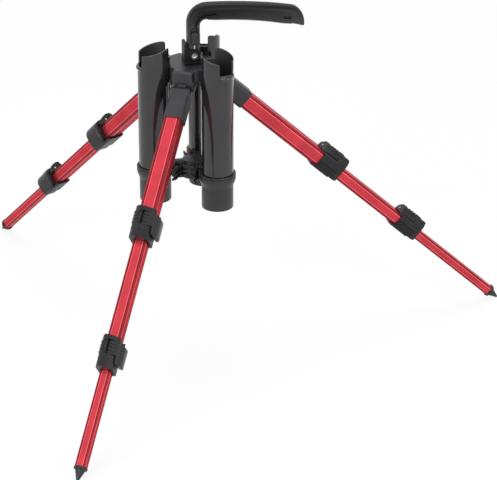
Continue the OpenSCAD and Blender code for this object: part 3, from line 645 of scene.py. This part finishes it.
knuckle = make_knuckle()
foot = mould(shape_of("right_foot", leg_matrix(0)), 0.3, 2, 0.3)
for k, (leg, _, _) in enumerate(LEGS):
    place(f"{leg}_knuckle_moulded", knuckle, leg_matrix(k), hub_black, f"{leg}_leg", [f"{leg}_knuckle"])
    place(f"{leg}_foot_moulded", foot, leg_matrix(k), black, f"{leg}_low_leg", [f"{leg}_foot"])
drop(knuckle)
drop(foot)

# Rod tubes: inner and outer wall in one skin, so that the rim is rounded all round and the gloss runs clean.
# A cut-out has its centre and half width in degrees, its floor, and the radii of its lower and upper corners.

BORE_R, TUBE_R, CIRCLE_R = 19.2, 21.0, 49.4
TUBE_Z = CAP_TOP - 14
TUBES = [("back", 60), ("left", 180), ("right", 300)]
OUTER_HALF, INNER_HALF = 33, 34
CUT_OUTS = ((0, OUTER_HALF, HUB_TOP + 1, 2.2, 1.0), (180, INNER_HALF, HUB_TOP + 12, 1.6, 3.5))


def tube_frame(azimuth):
    return Matrix.Rotation(math.radians(azimuth), 4, "Z") @ Matrix.Translation((CIRCLE_R, 0, 0))


def rim_height(a):
    """Height of a tube's rim at angle a from the outward side, in degrees."""
    slope = HUB_TOP + 21.5 - math.tan(math.radians(16)) * TUBE_R * math.cos(math.radians(a))
    for centre, half, floor, low_r, top_r in CUT_OUTS:
        away = abs((a - centre + 180) % 360 - 180)
        d = math.radians(away - half) * TUBE_R
        if d <= 0:
            lift = 0 if d < -low_r else low_r - math.sqrt(max(0.0, low_r ** 2 - (d + low_r) ** 2))
            return floor + lift
        if d < top_r:
            return slope - top_r + math.sqrt(top_r ** 2 - (top_r - d) ** 2)
    return slope


def rim_angles():
    """Even steps round the rim, and close ones beside the edges of the cut-outs."""
    angles = set(range(0, 360, 3))
    inner = 180 - INNER_HALF
    for edge, inward in ((OUTER_HALF, -1), (-OUTER_HALF, 1), (inner, 1), (-inner, -1)):
        for d in (-2.2, -1.8, -1.3, -0.8, -0.4, -0.15, -0.02, 0.01, 0.15, 0.4, 0.7, 1.0):
            angles.add((edge - inward * math.degrees(d / TUBE_R)) % 360)
    return sorted(angles)


def lip(a, z):
    """How far the rounded lip under the outer cut-out stands out."""
    away = abs((a + 180) % 360 - 180)
    side = min(1.0, max(0.0, (OUTER_HALF + 0.2 - away) / 2.0))
    up = (z - (HUB_TOP - 4.4)) / 5.2
    if not 0 < up < 1.05:
        return 0.0
    return 2.0 * side * math.sin(math.pi * min(1.0, up) ** 0.9)


def make_tube():
    """Rings up the outside, over the rounded rim and down the bore, closed on themselves."""
    angles = rim_angles()
    tops = [rim_height(a) for a in angles]
    fillet, steps, turns = 0.55, 16, 7
    mid, half = (BORE_R + TUBE_R) / 2, (TUBE_R - BORE_R) / 2
    shoulder = HUB_TOP - 10
    levels = [TUBE_Z + 0.01 + k * (shoulder - TUBE_Z) / 8 for k in range(9)]

    def ring(radius, height):
        points = []
        for a, top in zip(angles, tops):
            z = height(top)
            r, turn = radius(a, z), math.radians(a)
            points.append((r * math.cos(turn), r * math.sin(turn), z))
        return points

    def outer(a, z):
        return TUBE_R + lip(a, z)

    def inner(a, z):
        return BORE_R

    def straight(z):
        return lambda top: z

    def toward_rim(k):
        return lambda top: shoulder + (top - fillet - shoulder) * k / steps

    rings = [ring(outer, straight(z)) for z in levels]
    rings += [ring(outer, toward_rim(k)) for k in range(1, steps + 1)]
    for k in range(1, turns):
        b = math.pi * k / turns
        out = (abs(math.cos(b)) ** 0.7) * (1 if b < math.pi / 2 else -1)
        up = math.sin(b) ** 0.7
        rings.append(ring(lambda a, z: mid + half * out, lambda top: top - fillet + fillet * up))
    rings += [ring(inner, toward_rim(k)) for k in range(steps, 0, -1)]
    rings += [ring(inner, straight(z)) for z in reversed(levels)]
    rings.append(rings[0])
    bm = skin(rings, False)
    bmesh.ops.remove_doubles(bm, verts=bm.verts, dist=0.0005)
    return from_bmesh("tube", bm)


def rounded(points, radius, steps=4):
    """Rounds the corners of an open outline, leaving its two ends."""
    out = [points[0]]
    for a, b, c in zip(points, points[1:], points[2:]):
        a, b, c = Vector(a), Vector(b), Vector(c)
        r = min(radius, (a - b).length * 0.45, (c - b).length * 0.45)
        p, q = b + (a - b).normalized() * r, b + (c - b).normalized() * r
        for k in range(steps + 1):
            u = k / steps
            out.append(tuple((1 - u) ** 2 * p + 2 * u * (1 - u) * b + u * u * q))
    return out + [points[-1]]


def make_cap():
    """The end cap: a cup with a wide collar, a fine groove round the collar, and a seat for the tube."""
    cup, collar, foot, seat = 20.7, 24.0, CAP_LEN - 8.0, 21.1
    below = [(0.01, 0), (cup, 0), (cup, foot - 9), (collar, foot), (collar, 45.2)]
    groove = [(collar - 0.9, 45.5), (collar - 0.9, 46.0)]
    above = [(collar, 46.3), (collar, CAP_LEN), (seat, CAP_LEN), (seat, 34)]
    above += [(BORE_R, 34), (BORE_R, 3), (0.01, 3)]
    fine = rounded(below, 1.6) + groove + rounded(above, 0.5)
    return lathe("cap", [(r, z + CAP_Z) for r, z in fine])


def smooth_by_angle(o, degrees):
    for poly in o.data.polygons:
        poly.use_smooth = True
    o.data.set_sharp_from_angle(angle=math.radians(degrees))


def paint_bore_light(o, azimuth):
    """Gives the inside of a tube its rougher finish, and a lighter colour that is painted light."""
    o.data.materials.append(tube_bore_painted_light)
    back = tube_frame(azimuth).inverted() @ TO_MM
    for poly in o.data.polygons:
        if (back @ poly.center).xy.length < BORE_R + 0.1:
            poly.material_index = 1


tube, cap = make_tube(), make_cap()
for name, azimuth in TUBES:
    there = tube_frame(azimuth)
    o = place(f"{name}_rod_tube_skin", tube, there, tube_black, "stand", [f"{name}_rod_tube"])
    smooth_by_angle(o, 40)
    # Painted light on the inside of the tube.
    paint_bore_light(o, azimuth)
    o = place(f"{name}_end_cap_turned", cap, there, cap_black, "stand", [f"{name}_end_cap"])
    smooth_by_angle(o, 40)
drop(tube)
drop(cap)

# Handle: a row of stations along its stem, bend, grip and tip. A station has its place in x and z, its
# heading in degrees, and half the handle's height and thickness there.

HANDLE_X = 2.2
PIVOT_Z = HUB_TOP + 11.8
BEND_Z = PIVOT_Z + 39.5
STEM_W, STEM_T, BEND_R = 17.0, 20.0, 17.0
GRIP_LEN, GRIP_TURN, GRIP_H, GRIP_T = 117.0, 14.0, 21.0, 22.0
GRIP_R = GRIP_LEN / math.radians(GRIP_TURN)
TIP_FROM, TIP_LEN = 0.95, 14.6
EYE_R, EYE_HALF, PIVOT_R = 8.0, 6.7, 2.56
SLIDER_Z = PIVOT_Z + 14
Station = namedtuple("Station", "x z heading half_h half_t")


def stem_station(z):
    return Station(HANDLE_X, z, 90, STEM_W / 2, STEM_T / 2)


def bend_station(a):
    r = math.radians(a)
    half_h = STEM_W / 2 + (GRIP_H - STEM_W) / 2 * a / 90
    half_t = STEM_T / 2 + (GRIP_T - STEM_T) / 2 * a / 90
    x, z = HANDLE_X + BEND_R * (1 - math.cos(r)), BEND_Z + BEND_R * math.sin(r)
    return Station(x, z, 90 - a, half_h, half_t)


def grip_station(u):
    r = math.radians(GRIP_TURN * u)
    x, z = HANDLE_X + BEND_R + GRIP_R * math.sin(r), BEND_Z + BEND_R - GRIP_R * (1 - math.cos(r))
    return Station(x, z, -GRIP_TURN * u, GRIP_H / 2, GRIP_T / 2)


def grip_body_station(u):
    """The grip a little higher toward its end, so that its top runs straighter than its underside."""
    rise = 1.3 * max(0.0, (u - 0.3) / 0.7) ** 1.5
    s = grip_station(u)
    h = math.radians(s.heading)
    return Station(s.x - math.sin(h) * rise, s.z + math.cos(h) * rise, s.heading, s.half_h + rise, s.half_t)


def at(s, up, y):
    """A point at a station, that far up from its middle and at that depth."""
    h = math.radians(s.heading)
    return (s.x - math.sin(h) * up, y, s.z + math.cos(h) * up)


def tip_station(u):
    """The rounded tip: its underside runs on straight, and its top falls away as a quarter of an oval."""
    s = grip_body_station(TIP_FROM)
    fall = s.half_h * (1 - math.sqrt(1 - u * u))
    c = at(s, -fall, 0)
    h = math.radians(s.heading)
    reach = TIP_LEN + GRIP_LEN * (1 - TIP_FROM)
    x, z = c[0] + reach * u * math.cos(h), c[2] + reach * u * math.sin(h) - 0.9 * u * u
    return Station(x, z, s.heading, s.half_h - fall, s.half_t * math.sqrt(1 - 0.75 * u * u))


def bulge(v):
    return math.copysign(abs(v) ** 0.72, v)


def oval_ring(s, sides):
    turns = [2 * math.pi * j / sides for j in range(sides)]
    return [at(s, s.half_h * bulge(math.cos(b)), s.half_t * bulge(math.sin(b))) for b in turns]


def sweep_cut(stations, box):
    """A cutter swept along the handle: box gives its two heights and two depths at each station."""
    rings = []
    for k, s in enumerate(stations):
        low, high, near, far = box(k, s)
        rings.append([at(s, low, near), at(s, high, near), at(s, high, far), at(s, low, far)])
    return from_bmesh("tool", skin(rings))


def side_box(share, half_width, side):
    """For sweep_cut: a cut into one side of the handle, at a share of its half height below the middle."""
    def box(k, s):
        mid, half = -s.half_h * share, half_width(k)
        return mid - half, mid + half, side * s.half_t * 0.5, side * (s.half_t + 3)
    return box


def strip_box(k, s):
    """For sweep_cut: the bed of the soft strip under the grip."""
    return -s.half_h - 8, -s.half_h + 3.05, -7.05, 7.05


def slider_cuts():
    """The lock slider's pocket in the stem, rounded at its top, and the slot for its pin below."""
    half, floor, corner, flat = 4.9, -5.0, 3.7, 1.2
    top = SLIDER_Z + 17.7 + 5.4
    x = HANDLE_X
    cuts = [tool_box((x - half, -20, SLIDER_Z - 0.5), (x + half, floor, top - corner)),
            tool_box((x - flat, -20, top - 4), (x + flat, floor, top))]
    for side in (-flat, flat):
        cuts.append(tool_rod((x + side, -20, top - corner), (x + side, floor, top - corner), corner))
    cuts.append(tool_box((x - 1.65, -20, PIVOT_Z), (x + 1.65, -7.15, SLIDER_Z)))
    return cuts


def make_handle():
    """The stem, grip and eye in one, with the grooves, the strip's bed and the slider's pocket cut in."""
    stations = [stem_station(PIVOT_Z + 9.5 + k * 3) for k in range(10)]
    stations += [bend_station(a) for a in range(0, 91, 5)]
    stations += [grip_body_station(k / 26) for k in range(1, 24)]
    stations += [tip_station(u) for u in (0, 0.1, 0.2, 0.3, 0.4, 0.5, 0.6, 0.7, 0.78, 0.85, 0.9, 0.94, 0.97)]
    o = from_bmesh("handle", skin([oval_ring(s, 48) for s in stations]))
    eye = [tool_rod((HANDLE_X, -EYE_HALF, PIVOT_Z), (HANDLE_X, EYE_HALF, PIVOT_Z), EYE_R, sides=64),
           tool_box((HANDLE_X - EYE_R, -EYE_HALF, PIVOT_Z), (HANDLE_X + EYE_R, EYE_HALF, PIVOT_Z + 11.5))]
    carve(o, eye, "UNION")
    cuts = [sweep_cut([grip_station(0.04 + 0.94 * k / 40) for k in range(41)], strip_box)]
    groove = [stem_station(BEND_Z - 2 + k) for k in range(2)]
    groove += [bend_station(a) for a in range(0, 91, 6)] + [grip_station(k / 60) for k in range(1, 7)]
    slot = [grip_station(0.86 + 0.015 * k) for k in range(7)]
    last = len(groove) - 1

    def groove_half(k):
        return 0.7 + 1.6 * math.sin(math.pi * k / last) ** 0.7

    def slot_half(k):
        return 1.9

    for side in (-1, 1):
        cuts.append(sweep_cut(groove, side_box(0.24, groove_half, side)))
        cuts.append(sweep_cut(slot, side_box(0.2, slot_half, side)))
    cuts += slider_cuts()
    cuts.append(tool_rod((HANDLE_X, -40, PIVOT_Z), (HANDLE_X, 40, PIVOT_Z), PIVOT_R))
    carve(o, cuts)
    return mould(o, 0.42, 3, 0.35)


def make_strip():
    """The soft strip under the grip, with rounded teeth that fade out at both ends."""
    last, tooth_h, fade = 80, 2.0, 8
    rings = []
    for k in range(last + 1):
        s = grip_station(0.01 + 0.97 * k / last)
        tooth = (tooth_h if k % 2 else 0.0) * min(1.0, k / fade, (last - k) / fade)
        low, high = -s.half_h - tooth, -s.half_h + 2.6
        rings.append([at(s, low, -6.4), at(s, high, -6.9), at(s, high, 6.9), at(s, low, 6.4)])
    return mould(from_bmesh("strip", skin(rings)), 0.3, 1, 0.4)


def make_slider():
    """The lock slider: rounded at its top, with fine ribs across its face."""
    x, y = HANDLE_X, -STEM_T / 2 - 0.6
    half, corner, flat, bend = 4.3, 3.3, 1.0, SLIDER_Z + 14.4
    outline = [(x - half, SLIDER_Z), (x + half, SLIDER_Z)]
    outline += arc(x + flat, bend, corner, 0, 90) + arc(x - flat, bend, corner, 90, 180)
    o = prism(outline, y, y + 4.8)
    ribs = []
    for k in range(8):
        z = SLIDER_Z + 2.6 + 1.5 * k
        ribs.append(tool_box((x - 3.4, y - 0.4, z), (x + 3.4, y + 0.5, z + 0.75)))
    carve(o, ribs, "UNION")
    return mould(o, 0.2, 2, 0.4)


handle = make_handle()
place("handle_body_moulded", handle, IN_PLACE, grip_black, "handle", ["handle_body"])
drop(handle)
strip = make_strip()
place("grip_strip_moulded", strip, IN_PLACE, rubber, "handle", ["grip_strip"])
drop(strip)
slider = make_slider()
place("lock_slider_moulded", slider, IN_PLACE, slider_black, "lock", ["lock_slider"])
drop(slider)

# Floor, light and camera


def larger(t, a, b):
    """The larger of two outputs."""
    n = t.nodes.new("ShaderNodeMath")
    n.operation = "MAXIMUM"
    t.links.new(a, n.inputs[0])
    t.links.new(b, n.inputs[1])
    return n.outputs[0]


def seen_rays(t, share):
    """A factor that is share for rays from the camera, from gloss and through glass, and 0 for the rest."""
    path = t.nodes.new("ShaderNodeLightPath")
    seen = larger(t, path.outputs["Is Camera Ray"], path.outputs["Is Glossy Ray"])
    seen = larger(t, seen, path.outputs["Is Transmission Ray"])
    part = t.nodes.new("ShaderNodeMath")
    part.operation = "MULTIPLY"
    part.inputs[1].default_value = share
    t.links.new(seen, part.inputs[0])
    return part.outputs[0]


def stage_floor():
    """A white floor that keeps the object's shadow, a little darker far away."""
    mesh = bpy.data.meshes.new("floor")
    half = 9.0
    corners = [(-half, -half, 0), (half, -half, 0), (half, half, 0), (-half, half, 0)]
    mesh.from_pydata(corners, [], [(0, 1, 2, 3)])
    floor = link("floor", mesh)
    m = bpy.data.materials.new("floor_white")
    m.use_nodes = True
    t = m.node_tree
    t.nodes.remove(t.nodes["Principled BSDF"])
    coord = t.nodes.new("ShaderNodeTexCoord")
    away = t.nodes.new("ShaderNodeVectorMath")
    away.operation = "LENGTH"
    t.links.new(coord.outputs["Object"], away.inputs[0])
    near = add(t, "ShaderNodeMapRange", From_Min=0.8, From_Max=2.4, To_Min=0.86, To_Max=0.80)
    t.links.new(away.outputs["Value"], near.inputs["Value"])
    matt = t.nodes.new("ShaderNodeBsdfDiffuse")
    t.links.new(near.outputs["Result"], matt.inputs["Color"])
    glow = add(t, "ShaderNodeEmission", Color=WHITE, Strength=1.0)
    mix = t.nodes.new("ShaderNodeMixShader")
    t.links.new(seen_rays(t, 0.86), mix.inputs["Fac"])
    t.links.new(matt.outputs[0], mix.inputs[1])
    t.links.new(glow.outputs[0], mix.inputs[2])
    t.links.new(mix.outputs[0], t.nodes["Material Output"].inputs["Surface"])
    mesh.materials.append(m)


def studio_world():
    """White for the camera, gloss and glass; for the rest, a bright ceiling over a dim horizon."""
    world = bpy.data.worlds.new("studio")
    bpy.context.scene.world = world
    world.use_nodes = True
    t = world.node_tree
    back = t.nodes["Background"]
    back.inputs["Color"].default_value = WHITE
    coord = t.nodes.new("ShaderNodeTexCoord")
    axes = t.nodes.new("ShaderNodeSeparateXYZ")
    t.links.new(coord.outputs["Generated"], axes.inputs[0])
    level = add(t, "ShaderNodeMapRange", From_Min=-0.1, From_Max=0.85, To_Min=0.34, To_Max=0.72)
    t.links.new(axes.outputs["Z"], level.inputs["Value"])
    t.links.new(larger(t, seen_rays(t, 1.0), level.outputs["Result"]), back.inputs["Strength"])


def lamp(name, spot, aim, size, watts):
    data = bpy.data.lights.new(name, "AREA")
    data.shape = "RECTANGLE"
    data.size, data.size_y = size
    data.energy = watts
    o = link(name, data)
    o.location = spot
    o.rotation_euler = (Vector(aim) - Vector(spot)).to_track_quat("-Z", "Y").to_euler()


def photo_camera():
    """The camera that was fitted to the photograph."""
    data = bpy.data.cameras.new("photo")
    data.sensor_width = 36.0
    data.lens = 163.83
    data.clip_end = 60
    data.shift_y = 0.0026
    right = Vector((0.976569, -0.215187, 0.002878))
    up = Vector((0.087681, 0.41006, 0.907834))
    back = right.cross(up)
    spot = Vector((-0.52001, -2.68642, 1.39077))
    o = link("photo", data)
    o.matrix_world = Matrix((
        (right.x, up.x, back.x, spot.x),
        (right.y, up.y, back.y, spot.y),
        (right.z, up.z, back.z, spot.z),
        (0, 0, 0, 1)))
    bpy.context.scene.camera = o


stage_floor()
studio_world()
POD_MIDDLE = (0, 0, 0.2)
lamp("key", (-1.9, -1.9, 1.5), POD_MIDDLE, (1.4, 1.4), 34)
lamp("near", (-0.42, -0.24, 1.05), (-0.05, -0.09, 0.3), (0.5, 0.5), 0.25)
lamp("fill", (1.2, -2.4, 1.2), POD_MIDDLE, (1.4, 1.4), 30)
lamp("top", (0.2, 0.8, 2.4), POD_MIDDLE, (1.6, 1.0), 22)
photo_camera()
bpy.context.scene.view_settings.view_transform = "Standard"
